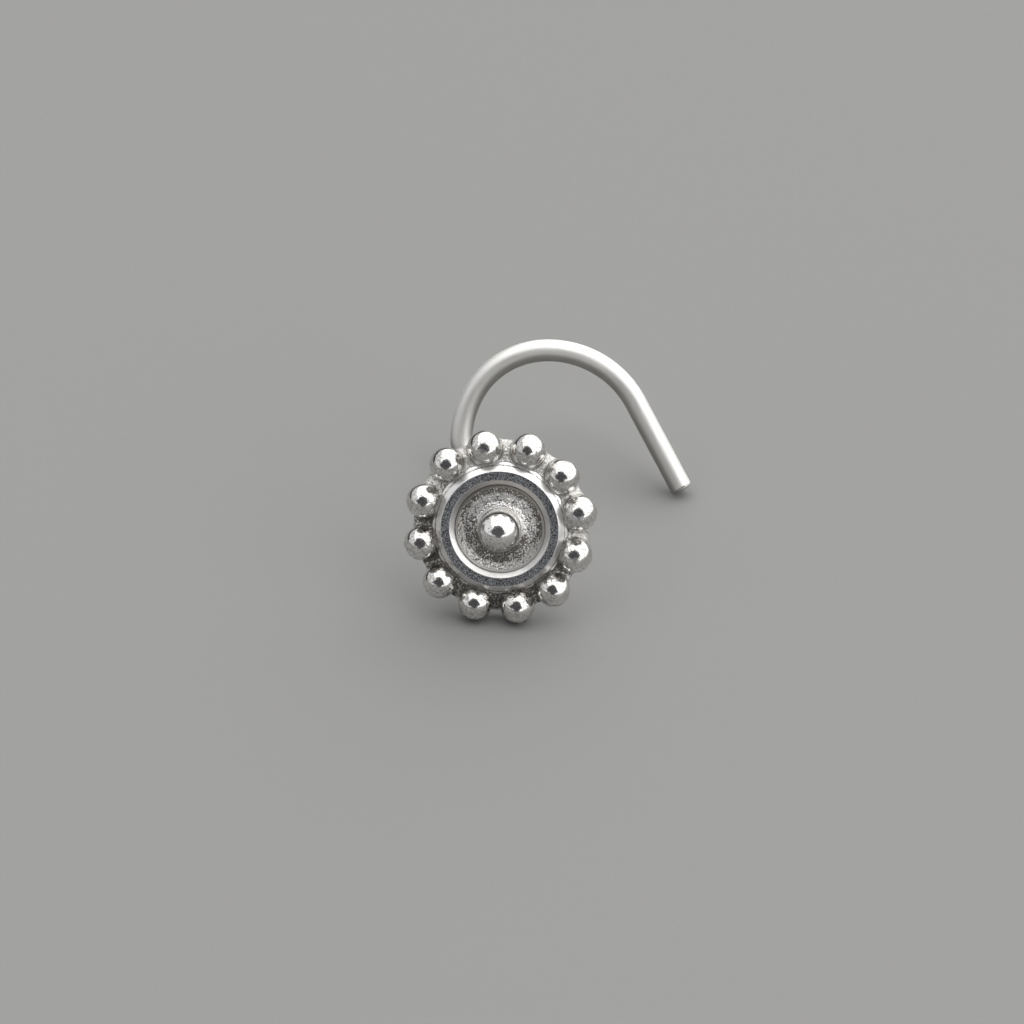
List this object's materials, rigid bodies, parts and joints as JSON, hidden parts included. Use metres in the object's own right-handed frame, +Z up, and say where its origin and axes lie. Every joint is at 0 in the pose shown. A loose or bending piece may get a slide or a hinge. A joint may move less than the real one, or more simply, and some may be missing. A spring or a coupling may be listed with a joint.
{
  "type": "nose stud with a nose-screw wire",
  "caption": "Round granulated silver nose stud with a stepped ring, a grainy dish and a centre ball, on a wire bent into a nose-screw hook.",
  "frame": {"origin": "middle of the object's box, on the surface that it rests on", "axes": "+Z up; the head's face looks towards -Y and leans back, +X is to the right as the face is seen, and the wire runs back towards +Y"},
  "size_m": [0.0098, 0.011, 0.0064],
  "materials": {
    "polished_silver": "hand-polished sterling silver with fine wear, for the granules, the ball and the ring's bevels",
    "satin_silver": "satin drawn silver wire",
    "darkened_silver": "oxidised silver: sandblasted grain in the dish, dark patina on the plate and the ring's flat face"
  },
  "bodies": {
    "root": {"nose_stud": "polished_silver"}
  },
  "joints": []
}
